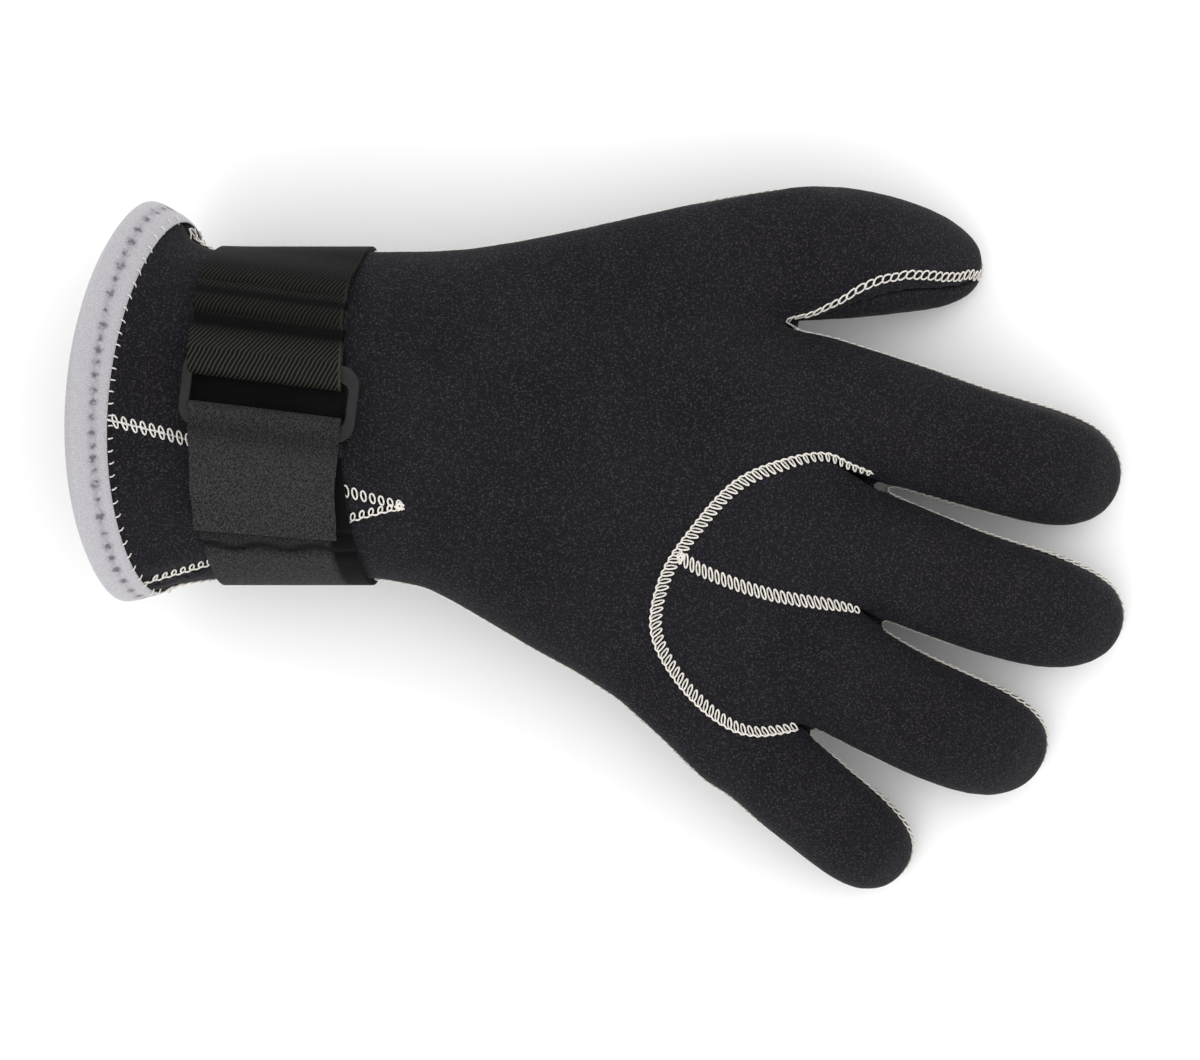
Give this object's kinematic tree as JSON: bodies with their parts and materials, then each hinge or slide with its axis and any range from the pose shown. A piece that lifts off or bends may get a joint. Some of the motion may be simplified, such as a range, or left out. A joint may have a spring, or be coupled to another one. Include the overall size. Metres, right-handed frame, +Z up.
{
  "type": "diving glove",
  "caption": "Right-hand neoprene diving glove lying palm down, with a bound cuff, a wrist strap through a flat ring and an open hollow for the hand.",
  "frame": {"origin": "on the floor under the middle of the glove as it lies", "axes": "+X from the cuff to the fingers, +Y to the thumb's side, +Z up from the palm to the back of the hand"},
  "size_m": [0.2644, 0.1784, 0.0719],
  "materials": {
    "neoprene": "matt jersey-faced neoprene, near black",
    "grey_binding": "ribbed knitted binding, light grey",
    "webbing": "twill webbing, off black",
    "hook_and_loop": "fuzzy loop pile, charcoal",
    "ring_plastic": "moulded plastic, black, semi-gloss"
  },
  "bodies": {
    "root": {"back_panel": "neoprene", "middle_finger_panel": "neoprene", "ring_finger_panel": "neoprene", "cuff_gusset": "neoprene", "palm_panel": "neoprene", "cuff_binding": "grey_binding", "strap_webbing": "webbing", "strap_tail": "hook_and_loop", "strap_ring": "ring_plastic"}
  },
  "joints": []
}
